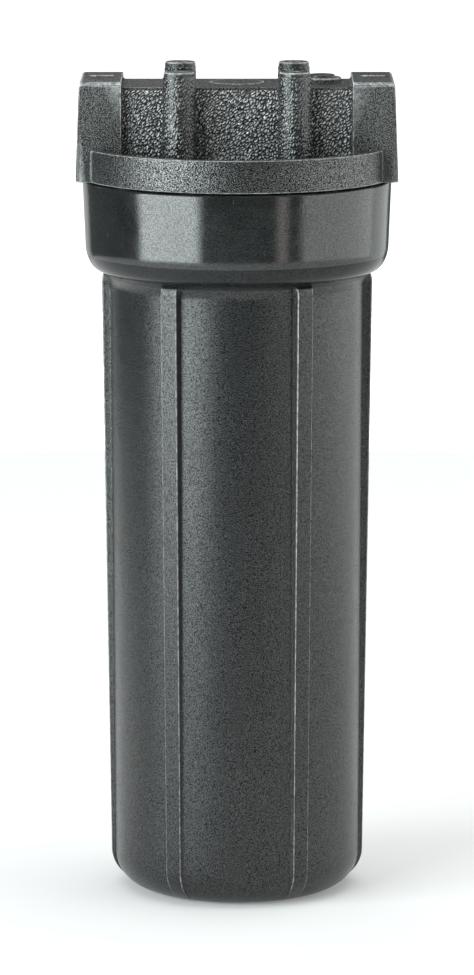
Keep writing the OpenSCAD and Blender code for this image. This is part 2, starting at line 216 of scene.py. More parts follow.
def lathe(name, profile, angles, radius=None, closed=False):
    """Turned mesh from (r, z) points in millimetres. radius(r, z, row, angles) gives a row's radii.

    A point at r = 0 becomes a pole. A closed profile joins its two ends.
    """
    angles = np.asarray(angles)
    count = len(angles)
    verts, rings = [], []
    for row, (r, z) in enumerate(profile):
        if r == 0:
            rings.append([len(verts)])
            verts.append((0, 0, z * MM))
            continue
        radii = np.full(count, float(r)) if radius is None else radius(r, z, row, angles)
        rings.append(list(range(len(verts), len(verts) + count)))
        verts += [(q * math.cos(a) * MM, q * math.sin(a) * MM, z * MM) for q, a in zip(radii, angles)]
    faces = []
    pairs = list(zip(rings, rings[1:])) + ([(rings[-1], rings[0])] if closed else [])
    for low, high in pairs:
        for i in range(count):
            j = (i + 1) % count
            corners = [low[i % len(low)], low[j % len(low)], high[j % len(high)], high[i % len(high)]]
            faces.append(list(dict.fromkeys(corners)))
    mesh = bpy.data.meshes.new(name)
    mesh.from_pydata(verts, [], faces)
    return mesh


def prism(name, outline, width, angle):
    """Flat plate of that width standing in a half plane from the axis, from (r, z) points in mm."""
    along = Vector((math.cos(angle), math.sin(angle), 0))
    across = Vector((-math.sin(angle), math.cos(angle), 0)) * width / 2
    verts = [(along * r + side * across + Vector((0, 0, z))) * MM for side in (-1, 1) for r, z in outline]
    count = len(outline)
    faces = [list(range(count)), list(range(2 * count - 1, count - 1, -1))]
    faces += [[i, i + count, (i + 1) % count + count, (i + 1) % count] for i in range(count)]
    mesh = bpy.data.meshes.new(name)
    mesh.from_pydata(verts, [], faces)
    return mesh


def recalc_normals(mesh):
    """Turns every face outwards."""
    bm = bmesh.new()
    bm.from_mesh(mesh)
    bmesh.ops.recalc_face_normals(bm, faces=bm.faces)
    bm.to_mesh(mesh)
    bm.free()


# ---------- sump ----------

base_round = 13
wall_low, wall_high = 45.6, 46.8
neck_r, flare_h = 50.0, 6.0
collar_low, collar_high, collar_h = 55.8, 56.7, 23.4
collar_round, collar_round_h = 6.0, 10.0
collar_edge = 0.9
bore_r, bore_edge = 51.9, 0.6
bowl_low, bowl_high, bowl_round, floor_t = 41.0, 42.2, 9.0, 5.0
foot_rings = (16, 28)
rib_w, rib_low, rib_high, rib_edge, rib_count = 6.7, 46.9, 49.9, 0.45, 6
groove_out, groove_in, groove_rise = 48.515, 44.285, 4.5
o_ring_d, o_ring_proud, skirt_gap, thread_rise = 3.53, 0.7, 0.1, 4.4
pitch, turns, thread_h, crest_half, root_half = 6.35, 2.75, 2.1, 1.0, 2.0
run_out = math.radians(40)

sump_top = sump_hi.z / MM
collar_side = sump_top - collar_h
collar_under = collar_side - collar_round_h
flare_w = neck_r - wall_high
flare_r = (flare_w ** 2 + flare_h ** 2) / (2 * flare_w)
flare_z = collar_under - flare_h
rib_top, rib_top_round = collar_under - 1.2, 2.8
neck_z = collar_under - 2.1
groove_z = collar_under + groove_rise
ledge_z = groove_z + o_ring_d - o_ring_proud
skirt_z = groove_z + o_ring_d + skirt_gap
sump_thread_z = skirt_z + thread_rise - pitch / 2


def rib_radius(z):
    """Radius of a rib's face, which tapers as the wall does."""
    share = max(0.0, (z - base_round) / (rib_top - base_round))
    return rib_low + (rib_high - rib_low) * min(1.0, share)


def rib_rise(r, z):
    """How far a rib stands out of the wall, down to nothing above its rounded top end."""
    if z < base_round:
        return (rib_low - wall_low) * math.sin(math.pi / 2 * z / base_round)
    end = min(1.0, max(0.0, (z - rib_top + rib_top_round) / rib_top_round))
    return max(0.0, rib_radius(z) - r) * math.sqrt(1 - end ** 2)


def rib_share(angles):
    """1 on a rib, 0 between ribs, with rounded sides."""
    step = TAU / rib_count
    off = (angles + TAU / 4) % step - step / 2
    side = np.abs(off) * (rib_low + rib_high) / 2
    t = np.clip((rib_w / 2 + rib_edge - side) / (2 * rib_edge), 0, 1)
    return t * t * (3 - 2 * t)


def ridge_height(z, angles):
    """Height of the sump's thread ridge above its root."""
    height = np.zeros(len(angles))
    for k in range(math.ceil(turns)):
        phi = angles % TAU + TAU * k
        middle = sump_thread_z + pitch * phi / TAU
        run = np.clip(np.minimum(phi, TAU * turns - phi) / run_out, 0, 1)
        flank = np.clip((root_half - np.abs(z - middle)) / (root_half - crest_half), 0, 1)
        height = np.maximum(height, thread_h * flank * run)
    return height


def sump_angles(foot=1.0, insets=(0.15, 0.4, 0.8), between=25):
    """Columns close together at the rib sides and even between them."""
    step = TAU / rib_count
    ref = (rib_low + rib_high) / 2
    half = rib_w / 2
    sides = [half + foot, half + rib_edge, half + rib_edge / 3, half - rib_edge / 3, half - 2 * rib_edge / 3,
             half - rib_edge] + [half - rib_edge - inset for inset in insets]
    offs = [-s / ref for s in sides] + [0] + [s / ref for s in reversed(sides)]
    gap = np.linspace(sides[0] / ref, step - sides[0] / ref, between)[1:-1]
    start = TAU / 2 / rib_count - TAU / 4
    return np.array([start + i * step + o for i in range(rib_count) for o in [*offs, *gap]])


def sump_profile(thread_row=0.45):
    """Outer profile from the middle of the foot to the top, and inner one back down to the floor."""
    outer = [(0, 0)] + [(r, 0) for r in foot_rings]
    outer += arc(wall_low - base_round, base_round, base_round, -90, 0, 14)
    outer += line((wall_low, base_round), (wall_high, flare_z), 26)
    heights = list(np.linspace(flare_z, rib_top - rib_top_round, 7))[1:]
    heights += [rib_top - rib_top_round * (1 - math.sin(math.radians(t))) for t in (25, 45, 65, 90)]
    heights += list(np.linspace(rib_top, collar_under, 4))[1:]
    outer += [(wall_high + flare_r - math.sqrt(flare_r ** 2 - (z - flare_z) ** 2), z) for z in heights]
    outer += arc(collar_low - collar_round, collar_side, collar_round, -84, 0, 16, ry=collar_round_h)
    outer += line((collar_low, collar_side), (collar_high, sump_top - collar_edge), 6)
    outer += arc(collar_high - collar_edge, sump_top - collar_edge, collar_edge, 22, 90, 4)
    inner = arc(bore_r + bore_edge, sump_top - bore_edge, bore_edge, 90, 180, 3)
    rows = round((sump_top - bore_edge - ledge_z) / thread_row)
    inner += line((bore_r, sump_top - bore_edge), (bore_r, ledge_z), rows)
    inner += [(groove_out, ledge_z), (groove_out, groove_z), (groove_in, groove_z), (groove_in, ledge_z),
              (bowl_high, ledge_z)]
    inner += line((bowl_high, ledge_z), (bowl_low, floor_t + bowl_round), 12)
    inner += arc(bowl_low - bowl_round, floor_t + bowl_round, bowl_round, 0, -90, 8)[1:]
    inner += [(foot_rings[0], floor_t), (0, floor_t)]
    return outer, inner


def make_sump():
    """Shell of the sump, with the ribs outside and the thread ridge in its bore."""
    outer, inner = sump_profile()
    profile = outer + inner
    ribbed = rib_share(sump_angles())

    def radius(r, z, row, angles):
        if row < len(outer):
            if z < rib_top and r > wall_low - base_round - 0.1:
                return r + rib_rise(r, z) * ribbed
        elif abs(r - bore_r) < 1e-6:
            return r - ridge_height(z, angles)
        return np.full(len(angles), float(r))

    mesh = lathe("sump_shell", profile, sump_angles(), radius)
    recalc_normals(mesh)
    return add_object("sump_shell", mesh, 40)


sump_shell = make_sump()
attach(sump_shell, "sump")
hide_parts("sump")


# ---------- head ----------

voxel, head_faces = 0.38 * MM, 120000
rim_r = 57.0
rim_z = sump_top + 0.7
rim_top, rim_wall = rim_z + 11.8, 3.8
deck_z = rim_top - 5
block_x, block_y, block_top, block_edge = 42.0, 21.3, rim_top + 24.8, 1.5
mark_h, mark_root = 0.5, 0.3
pad_r, pad_edge, pad_dish = 10.0, 0.2, 0.25
web_top, web_y = rim_top + 22.6, 17.2
column_xy, column_r, column_r_high = 21.0, 6.2, 5.6
column_top = head_hi.z / MM
port_z, port_r, port_depth, port_face, port_outside = 283.9, 12.0, 18.0, 57.6, 60
pipe_pitch, pipe_depth, pipe_mouth = 25.4 / 14, 1.25, 1.3
pebble_long, pebble_wide, pebble_grid = 1.85, 1.0, 0.2
pebble_h, column_pebble_h, pebble_steepness = 0.6, 0.32, 1.5
pebble_lean = math.radians(52)
pebble_root, pebble_sunk, pebble_fade = 0.05, 0.35, 0.7


def node_copy(node, name):
    """A new object with a copy of a CAD node's mesh."""
    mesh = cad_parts[node].data.copy()
    mesh.name = name
    mesh.materials.clear()
    obj = bpy.data.objects.new(name, mesh)
    bpy.context.scene.collection.objects.link(obj)
    return obj


def apply_modifier(obj, kind, **values):
    """Adds a modifier with these values and applies it."""
    mod = obj.modifiers.new(kind.lower(), kind)
    for key, value in values.items():
        setattr(mod, key, value)
    bpy.context.view_layer.objects.active = obj
    bpy.ops.object.modifier_apply(modifier=mod.name)


def cylinder_x(name, r, x0, x1, z, sides=96):
    """Closed cylinder along X, in millimetres."""
    ring = [(r * math.cos(a), r * math.sin(a)) for a in full_turn(sides)]
    verts = [(x * MM, y * MM, (z + h) * MM) for x in (min(x0, x1), max(x0, x1)) for y, h in ring]
    faces = [list(range(sides - 1, -1, -1)), list(range(sides, 2 * sides))]
    faces += [[i, (i + 1) % sides, (i + 1) % sides + sides, i + sides] for i in range(sides)]
    mesh = bpy.data.meshes.new(name)
    mesh.from_pydata(verts, [], faces)
    return mesh


def cut(obj, meshes):
    """Takes closed meshes away from obj."""
    for mesh in meshes:
        other = bpy.data.objects.new("cutter", mesh)
        bpy.context.scene.collection.objects.link(other)
        apply_modifier(obj, "BOOLEAN", operation="DIFFERENCE", solver="EXACT", object=other)
        bpy.data.objects.remove(other)


def vertex_array(mesh):
    """Vertex places in millimetres."""
    flat = np.empty(3 * len(mesh.vertices), np.float32)
    mesh.vertices.foreach_get("co", flat)
    return flat.reshape(-1, 3).astype(float) / MM


def pebble_height(p):
    """Height from 0 to 1 of long bumps that lean to the right, with narrow valleys between them."""
    along = (p[:, 0] * math.cos(pebble_lean) + p[:, 2] * math.sin(pebble_lean)) / pebble_long
    across = (p[:, 2] * math.cos(pebble_lean) - p[:, 0] * math.sin(pebble_lean)) / pebble_wide
    depth = p[:, 1] / pebble_wide
    gaps = np.empty(len(p))
    for i, q in enumerate(zip(along, across, depth)):
        near, second = noise.voronoi(q)[0][:2]
        gaps[i] = second - near
    return 1 - (1 - np.clip(gaps * pebble_steepness, 0, 1)) ** 2


def pebbled_sheet(name, places, normals, height, fade, closed):
    """Pebbled skin over a smooth face, from a grid of places in millimetres. Where fade is 0 it sinks in."""
    rows, columns = fade.shape
    p, n, fade = places.reshape(-1, 3), normals.reshape(-1, 3), fade.reshape(-1, 1)
    rise = (pebble_height(p)[:, None] * height - pebble_root) * fade - pebble_sunk * (1 - fade)
    verts = (p + n * rise) * MM
    last = columns if closed else columns - 1
    faces = [(r * columns + c, r * columns + (c + 1) % columns, (r + 1) * columns + (c + 1) % columns,
              (r + 1) * columns + c) for r in range(rows - 1) for c in range(last)]
    mesh = bpy.data.meshes.new(name)
    mesh.from_pydata(verts.tolist(), [], faces)
    return add_object(name, mesh, 180)


def fade_in(values, low, high):
    """1 between low and high, down to 0 at both."""
    return np.clip(np.minimum(values - low, high - values) / pebble_fade, 0, 1)


def make_pebbles():
    """Pebbled skins of the centre block's front and back and of the four screw columns."""
    low, high = deck_z + 0.4, web_top - 0.7
    zs = np.arange(low, high, pebble_grid)
    sheets = []
    for name, side in (("front", -1), ("back", 1)):
        xs = np.arange(-block_x, block_x, pebble_grid) * -side
        x, z = np.meshgrid(xs, zs)
        places = np.stack([x, np.full_like(x, side * web_y), z], axis=-1)
        normals = np.zeros_like(places)
        normals[..., 1] = side
        fade = fade_in(z, low, high)
        sheets.append(pebbled_sheet(f"pebbles_{name}", places, normals, pebble_h, fade, False))
    turn = np.linspace(0, TAU, round(TAU * column_r / pebble_grid), endpoint=False)
    high = column_top - 1.2
    a, z = np.meshgrid(turn, np.arange(low, high, pebble_grid))
    r = column_r + (column_r_high - column_r) * (z - deck_z) / (column_top - deck_z)
    normals = np.stack([np.cos(a), np.sin(a), np.zeros_like(a)], axis=-1)
    for i, (x, y) in enumerate(((-1, -1), (1, -1), (-1, 1), (1, 1))):
        places = np.stack([x * column_xy + r * np.cos(a), y * column_xy + r * np.sin(a), z], axis=-1)
        fade = fade_in(z, low, high)
        sheets.append(pebbled_sheet(f"pebbles_column_{i + 1}", places, normals, column_pebble_h, fade, True))
    return sheets


def sink_rim(mesh, side_sink=0.6, wall_sink=0.5, top_sink=0.7, reach=0.6):
    """Draws the rim's side, inner wall and top in a little, where the turned rim covers them."""
    places = vertex_array(mesh)
    r = np.hypot(places[:, 0], places[:, 1])
    z = places[:, 2]
    clear = np.abs(places[:, 1]) > block_y + 0.8
    on_rim = (r > rim_r - rim_wall - reach) & (z < rim_top + 0.3) & clear
    side = (r > rim_r - side_sink) & clear
    places[side, :2] *= ((rim_r - side_sink) / r[side])[:, None]
    inner = rim_r - rim_wall + wall_sink
    wall = on_rim & (r < inner) & (z > deck_z + 0.8)
    places[wall, :2] *= (inner / r[wall])[:, None]
    top = on_rim & (z > rim_top - top_sink)
    places[top, 2] = rim_top - top_sink
    mesh.vertices.foreach_set("co", (places * MM).astype(np.float32).ravel())
    mesh.update()


def make_rim(name, side, edge=0.35, chamfer=1.5, overlap=0.5, columns=145):
    """Front or back half of the turned rim. Both of its ends run into the port blocks."""
    inner = rim_r - rim_wall
    outline = arc(rim_r - edge, rim_z + edge, edge, -90, 0, 4)
    outline += line((rim_r, rim_z + edge), (rim_r, rim_top - edge), 6)
    outline += arc(rim_r - edge, rim_top - edge, edge, 0, 90, 4)[1:]
    outline += arc(inner + edge, rim_top - edge, edge, 90, 180, 4)
    outline += [(inner, rim_z + chamfer), (inner + chamfer, rim_z)]
    start = math.asin((block_y - overlap) / rim_r)
    angles = np.linspace(start, math.pi - start, columns)
    n = len(outline)
    verts = [(r * math.cos(a) * MM, side * r * math.sin(a) * MM, z * MM) for a in angles for r, z in outline]
    faces = [(i * n + k, i * n + (k + 1) % n, (i + 1) * n + (k + 1) % n, (i + 1) * n + k)
             for i in range(columns - 1) for k in range(n)]
    faces += [tuple(range(n)), tuple(range(len(verts) - n, len(verts)))]
    mesh = bpy.data.meshes.new(name)
    mesh.from_pydata(verts, [], faces)
    recalc_normals(mesh)
    return add_object(name, mesh, 50)


def make_head():
    """Head with its ports bored out for the thread sleeves and its edges softened."""
    obj = node_copy("head", "head_shell")
    bore_r = port_r + pipe_depth + 0.2
    bores = [cylinder_x("bore", bore_r, side * (port_face - port_depth), side * port_outside, port_z)
             for side in (-1, 1)]
    cut(obj, bores)
    apply_modifier(obj, "REMESH", mode="VOXEL", voxel_size=voxel)
    apply_modifier(obj, "SMOOTH", iterations=2, factor=0.5)
    sink_rim(obj.data)
    faces = sum(len(p.vertices) - 2 for p in obj.data.polygons)
    apply_modifier(obj, "DECIMATE", ratio=min(1, head_faces / faces))
    obj.data.polygons.foreach_set("use_smooth", [True] * len(obj.data.polygons))
    apply_modifier(obj, "WEIGHTED_NORMAL", weight=70)
    return obj


def make_arrow(name, side):
    """Raised flow arrow on the top of a port block."""
    length, width, shaft, edge = 9.0, 5.0, 1.8, 0.15
    neck = -length / 2 + width / 2
    outline = [(-length / 2, 0), (neck, -width / 2), (neck, -shaft / 2), (length / 2, -shaft / 2),
               (length / 2, shaft / 2), (neck, shaft / 2), (neck, width / 2)]
    middle = side * ((block_x + head_hi.x / MM) / 2 - block_edge / 2)
    n = len(outline)
    heights = (block_top - mark_root, block_top + mark_h)
    verts = [((middle + x) * MM, y * MM, z * MM) for z in heights for x, y in outline]
    faces = [tuple(range(n)), tuple(range(n, 2 * n))]
    faces += [(i, (i + 1) % n, (i + 1) % n + n, i + n) for i in range(n)]
    mesh = bpy.data.meshes.new(name)
    mesh.from_pydata(verts, [], faces)
    recalc_normals(mesh)
    piece = add_object(name, mesh)
    apply_modifier(piece, "BEVEL", width=edge * MM, segments=2, limit_method="ANGLE")
    return piece


def make_pad():
    """Raised round pad on the centre block, with a shallow dish in it."""
    top, root = web_top + mark_h, web_top - mark_root
    profile = [(0, root), (pad_r, root)] + arc(pad_r - pad_edge, top - pad_edge, pad_edge, 0, 90, 3)
    profile += [(pad_r - 0.9, top), (pad_r - 1.2, top - pad_dish), (0, top - pad_dish)]
    mesh = lathe("centre_pad", profile, full_turn(96))
    recalc_normals(mesh)
    return add_object("centre_pad", mesh)


def make_port_thread(name, side, count=96, rows_per_pitch=8, wall=0.35, lip=0.05):
    """Sleeve with the tapered pipe thread, as a lathe along X whose inner radius follows the thread."""
    step = pipe_pitch / rows_per_pitch
    xs = np.arange(0, port_depth + step, step)
    xs[-1] = port_depth
    rows = []
    for x in xs:
        taper = (port_depth / 2 - x) / 32
        phase = (x / pipe_pitch - np.arange(count) / count) % 1
        groove = np.clip(1.15 - 2.3 * np.abs(phase - 0.5), 0, 1)
        thread = port_r + taper + pipe_depth * groove
        mouth = port_r + pipe_mouth - x
        rows.append((x, np.maximum(thread, mouth)))
    outer = np.full(count, port_r + pipe_depth + wall)
    rows += [(port_depth, outer), (lip, outer)]
    verts = []
    for x, radii in rows:
        verts += [(side * (port_face - x) * MM, r * math.cos(a) * MM, (port_z + r * math.sin(a)) * MM)
                  for a, r in zip(full_turn(count), radii)]
    rings = len(rows)
    faces = [[row * count + i, row * count + (i + 1) % count, (row + 1) % rings * count + (i + 1) % count,
              (row + 1) % rings * count + i] for row in range(rings) for i in range(count)]
    mesh = bpy.data.meshes.new(name)
    mesh.from_pydata(verts, [], faces)
    recalc_normals(mesh)
    return add_object(name, mesh, 60)


head_shell = make_head()
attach(head_shell, "head")
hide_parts("head")
rims = [make_rim("rim_front", -1), make_rim("rim_back", 1)]
pebbles = make_pebbles()
marks = [make_arrow("flow_arrow_left", -1), make_arrow("flow_arrow_right", 1), make_pad()]
port_threads = [make_port_thread("port_thread_left", -1), make_port_thread("port_thread_right", 1)]
for piece in (*rims, *pebbles, *marks, *port_threads):
    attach(piece, "head")


# ---------- materials ----------

class Paint:
    """Small helper that builds one node material. Sizes of patterns are in millimetres."""

    def __init__(self, name):
        self.mat = bpy.data.materials.new(name)
        self.mat.use_nodes = True
        self.nodes, self.links = self.mat.node_tree.nodes, self.mat.node_tree.links
        self.shader = self.nodes["Principled BSDF"]
        self.place = self.nodes.new("ShaderNodeTexCoord").outputs["Object"]

    def value(self, **sockets):
        """Constants straight on the shader's sockets. An underscore stands for a space."""
        for name, value in sockets.items():
            self.shader.inputs[name.replace("_", " ")].default_value = value

    def noise(self, size, detail=2.0, stretch=(1, 1, 1), seed=0.0):
        """Noise with features of that size, made longer along an axis by its stretch."""
        mapping = self.nodes.new("ShaderNodeMapping")
        mapping.inputs["Scale"].default_value = [1 / s for s in stretch]
        mapping.inputs["Location"].default_value = (seed, seed, seed)
        self.links.new(self.place, mapping.inputs["Vector"])
        tex = self.nodes.new("ShaderNodeTexNoise")
        tex.inputs["Scale"].default_value = 1 / (size * MM)
        tex.inputs["Detail"].default_value = detail
        self.links.new(mapping.outputs[0], tex.inputs["Vector"])
        return tex.outputs["Fac"]

    def range(self, source, low, high, out_low=0.0, out_high=1.0):
        """Source from low to high, mapped to out_low to out_high and held there outside."""
        node = self.nodes.new("ShaderNodeMapRange")
        self.links.new(source, node.inputs["Value"])
        for name, value in zip(("From Min", "From Max", "To Min", "To Max"), (low, high, out_low, out_high)):
            node.inputs[name].default_value = value
        return node.outputs["Result"]

    def math(self, operation, a, b):
        """Result of an operation on two outputs, or on an output and a float."""
        node = self.nodes.new("ShaderNodeMath")
        node.operation = operation
        for socket, value in zip(node.inputs, (a, b)):
            if isinstance(value, float):
                socket.default_value = value
            else:
                self.links.new(value, socket)
        return node.outputs[0]

    def blend(self, share, color_a, color_b):
        """Mix of two colours, each a tuple or an output."""
        node = self.nodes.new("ShaderNodeMix")
        node.data_type = "RGBA"
        self.links.new(share, node.inputs["Factor"])
        rgba = [s for s in node.inputs if s.type == "RGBA"]
        for socket, color in zip(rgba, (color_a, color_b)):
            if isinstance(color, tuple):
                socket.default_value = (*color, 1)
            else:
                self.links.new(color, socket)
        return [s for s in node.outputs if s.type == "RGBA"][0]

    def edges(self, low, high):
        """1 on outer edges, which are painted lighter: partly rubbed wear, partly a painted highlight."""
        return self.range(self.nodes.new("ShaderNodeNewGeometry").outputs["Pointiness"], low, high)

    def bump(self, height, depth, previous=None):
        """Bump whose full height is depth, in millimetres."""
        node = self.nodes.new("ShaderNodeBump")
        node.inputs["Distance"].default_value = depth * MM
        self.links.new(height, node.inputs["Height"])
        if previous:
            self.links.new(previous, node.inputs["Normal"])
        return node.outputs["Normal"]

    def finish(self, color, rough, normal):
        """Links the three main outputs and gives the material."""
        self.links.new(color, self.shader.inputs["Base Color"])
        self.links.new(rough, self.shader.inputs["Roughness"])
        self.links.new(normal, self.shader.inputs["Normal"])
        return self.mat


def moulded(name, dark, light, rough, grain_mm, grain_depth, edge_light=0.5, seed=0.0, specular=0.5,
            edge_from=0.52, edge_to=0.56, sparkle=0.45, wear_and_highlight_tone=0.26, crisp=0.15):
    """Moulded plastic: cloudy colour, fine specks that also vary its shine, grain, and edges lighter from
    wear and a painted highlight.

    A smaller crisp makes the specks harder. The lighter edge grows as pointiness goes from edge_from to
    edge_to.
    """
    cloud_mm, edge_break_mm, patch_mm, wave_mm, wave_depth = 28, 1.6, 9, 6, 0.02
    p = Paint(name)
    cloud = p.range(p.noise(cloud_mm, 3, seed=seed), 0.3, 0.7, 0.0, 0.6)
    speck = p.noise(grain_mm, 1.0, seed=seed + 2)
    speck = p.range(speck, 0.5 - crisp, 0.5 + crisp)
    share = p.math("MULTIPLY", p.math("ADD", cloud, p.math("MULTIPLY", speck, 1.2)), 0.55)
    tone = p.blend(share, dark, light)
    # Outer edges painted lighter in broken lines: partly rubbed wear, partly a painted highlight.
    broken = p.range(p.noise(edge_break_mm, 1.0, seed=seed + 3), 0.4, 0.6, 0.4 * edge_light, edge_light)
    wear_and_highlight = p.math("MULTIPLY", p.edges(edge_from, edge_to), broken)
    color = p.blend(wear_and_highlight, tone, (wear_and_highlight_tone,) * 3)
    patch = p.range(p.noise(patch_mm, 3, seed=seed + 5), 0.3, 0.7, rough - 0.03, rough + 0.04)
    shine = p.range(speck, 0.0, 1.0, (1 - sparkle) * specular, (1 + sparkle) * specular)
    p.links.new(shine, p.shader.inputs["Specular IOR Level"])
    grain = p.noise(grain_mm, 1.0, seed=seed + 7)
    normal = p.bump(grain, grain_depth, p.bump(p.noise(wave_mm, 1.0, seed=seed + 9), wave_depth))
    return p.finish(color, patch, normal)


def glossy_black(name, dark, light, specular):
    """Polished moulding of the collar, with fine specks and faint upright rub marks."""
    cloud_mm, grain_mm, patch_mm, rub_mm, rub_tone, depth = 22, 0.45, 7, 0.5, 0.09, 0.02
    p = Paint(name)
    cloud = p.range(p.noise(cloud_mm, 3), 0.35, 0.7)
    grain = p.noise(grain_mm, 1, seed=7)
    share = p.math("MULTIPLY", p.math("ADD", cloud, p.range(grain, 0.35, 0.65, 0.0, 2.0)), 0.33)
    tone = p.blend(share, dark, light)
    streak = p.range(p.noise(rub_mm, 2, stretch=(1, 1, 24)), 0.70, 0.78, 0.0, 0.5)
    patch = p.range(p.noise(patch_mm, 3, seed=4), 0.35, 0.7, 0.11, 0.17)
    rough = p.math("ADD", patch, p.math("MULTIPLY", streak, 0.5))
    color = p.blend(streak, tone, (rub_tone,) * 3)
    shine = p.range(grain, 0.35, 0.65, 0.7 * specular, 1.3 * specular)
    p.links.new(shine, p.shader.inputs["Specular IOR Level"])
    normal = p.bump(grain, depth, p.bump(p.noise(patch_mm, 1.0, seed=9), depth))
    return p.finish(color, rough, normal)


def rubber(name, dark, light, rough):
    """Matt rubber or foam, a little uneven in tone."""
    p = Paint(name)
    color = p.blend(p.range(p.noise(4, 3), 0.3, 0.7), dark, light)
    patch = p.range(p.noise(3, 2, seed=3), 0.3, 0.7, rough - 0.12, rough + 0.08)
    return p.finish(color, patch, p.bump(p.noise(0.35, 2), 0.02))


def wire(name):
    """Drawn steel, with fine lines that run along the coils."""
    p = Paint(name)
    p.value(Metallic=1.0)
    drawn = p.noise(0.4, 2, stretch=(4, 4, 1))
    color = p.blend(p.range(drawn, 0.3, 0.7), (0.42, 0.42, 0.41), (0.66, 0.65, 0.62))
    return p.finish(color, p.range(drawn, 0.3, 0.7, 0.22, 0.38), p.bump(drawn, 0.01))


def felt(name):
    """Non-woven filter medium: fine matted fibres, a little darker in patches."""
    p = Paint(name)
    fibre = p.noise(0.3, 4, stretch=(1, 1, 3))
    cloud = p.noise(12, 3, seed=2)
    share = p.math("MULTIPLY", p.math("ADD", p.range(fibre, 0.3, 0.7), p.range(cloud, 0.3, 0.7)), 0.5)
    color = p.blend(share, (0.74, 0.73, 0.68), (0.9, 0.9, 0.87))
    p.value(Sheen_Weight=0.15)
    return p.finish(color, p.range(fibre, 0.3, 0.7, 0.8, 0.95), p.bump(fibre, 0.06))


def light_plastic(name, dark, light, rough, through=0.0):
    """Smooth plastic of the cartridge's parts. through is the share of light that enters it."""
    p = Paint(name)
    color = p.blend(p.range(p.noise(18, 3), 0.3, 0.7), dark, light)
    patch = p.range(p.noise(5, 3, seed=3), 0.3, 0.7, rough - 0.06, rough + 0.06)
    p.value(Subsurface_Weight=through)
    return p.finish(color, patch, p.bump(p.noise(0.8, 2), 0.015))


def paint_nodes(material, *names):
    """Gives CAD nodes this material."""
    for name in names:
        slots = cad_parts[name].data.materials
        slots.clear()
        slots.append(material)


def face_centres(mesh):
    """Middles of a mesh's faces, in millimetres."""
    flat = np.empty(3 * len(mesh.polygons), np.float32)
    mesh.polygons.foreach_get("center", flat)
    return flat.reshape(-1, 3) / MM


# The lighter edge tone set on these plastics is partly rubbed wear and partly a painted highlight on the
# edges.
sump_satin = moulded("sump_satin", (0.003, 0.004, 0.004), (0.013, 0.015, 0.015), rough=0.24, grain_mm=0.36,
                     grain_depth=0.08, edge_light=1.0, specular=0.57, edge_from=0.515, edge_to=0.55,
                     wear_and_highlight_tone=0.42, sparkle=0.75)
# Duller copy of the satin, with much less shine, for the neck under the collar: painted shade.
sump_neck_shade = moulded("sump_neck_shade", (0.006, 0.007, 0.007), (0.016, 0.018, 0.018), rough=0.26, grain_mm=0.38,
                    grain_depth=0.05, edge_light=0.6, seed=2, specular=0.24)
sump_gloss = glossy_black("sump_gloss", (0.001, 0.002, 0.002), (0.021, 0.023, 0.023), specular=0.72)
# Duller copy of the collar gloss for its lower, downward-facing edge: painted shade.
sump_under_shade = glossy_black("sump_under_shade", (0.002, 0.003, 0.003), (0.018, 0.020, 0.020), specular=0.3)
head_satin = moulded("head_satin", (0.008, 0.010, 0.010), (0.038, 0.042, 0.041), rough=0.33, grain_mm=0.34,
                     grain_depth=0.1, edge_light=0.9, seed=1, specular=0.62, edge_from=0.515, edge_to=0.54,
                     wear_and_highlight_tone=0.5, sparkle=0.9)
head_rim = moulded("head_rim", (0.002, 0.003, 0.003), (0.028, 0.031, 0.030), rough=0.22, grain_mm=0.42,
                   grain_depth=0.18, edge_light=0.9, seed=5, specular=0.78, edge_from=0.515, edge_to=0.54,
                   wear_and_highlight_tone=0.5, sparkle=1.0, crisp=0.12)
head_grain = moulded("head_grain", (0.002, 0.003, 0.003), (0.086, 0.090, 0.088), rough=0.42, grain_mm=0.41,
                     grain_depth=0.5, edge_light=1.0, seed=3, edge_from=0.515, edge_to=0.54,
                     wear_and_highlight_tone=0.6, sparkle=1.0, crisp=0.07)
# Pebble tops painted near white: a painted highlight on the ridges of the pebbled skin.
head_pebble = moulded("head_pebble", (0.002, 0.003, 0.003), (0.012, 0.014, 0.014), rough=0.15, grain_mm=0.5,
                      grain_depth=0.04, edge_light=1.0, seed=4, specular=0.98, edge_from=0.505, edge_to=0.59,
                      wear_and_highlight_tone=0.88, sparkle=0.3)
# Same plastic as head_pebble, with less painted highlight and a darker tone: painted shade on the screw
# columns.
column_pebble = moulded("column_pebble", (0.002, 0.003, 0.003), (0.010, 0.012, 0.012), rough=0.17,
                        grain_mm=0.5, grain_depth=0.04, edge_light=1.0, seed=4, specular=0.86,
                        edge_from=0.505, edge_to=0.59, wear_and_highlight_tone=0.36, sparkle=0.3)
button_black = moulded("button_black", (0.010, 0.011, 0.011), (0.022, 0.023, 0.024), rough=0.3, grain_mm=0.5,
                       grain_depth=0.01, seed=6)
black_rubber = rubber("black_rubber", (0.010, 0.010, 0.010), (0.022, 0.022, 0.022), rough=0.4)
gasket_foam = rubber("gasket_foam", (0.022, 0.022, 0.023), (0.05, 0.05, 0.052), rough=0.75)
spring_wire = wire("spring_wire")
filter_felt = felt("filter_felt")
core_plastic = light_plastic("core_plastic", (0.74, 0.75, 0.74), (0.86, 0.87, 0.86), rough=0.42, through=0.1)
net_plastic = light_plastic("net_plastic", (0.72, 0.77, 0.79), (0.82, 0.86, 0.88), rough=0.35, through=0.15)
cap_blue = light_plastic("cap_blue", (0.035, 0.12, 0.34), (0.06, 0.18, 0.46), rough=0.4)

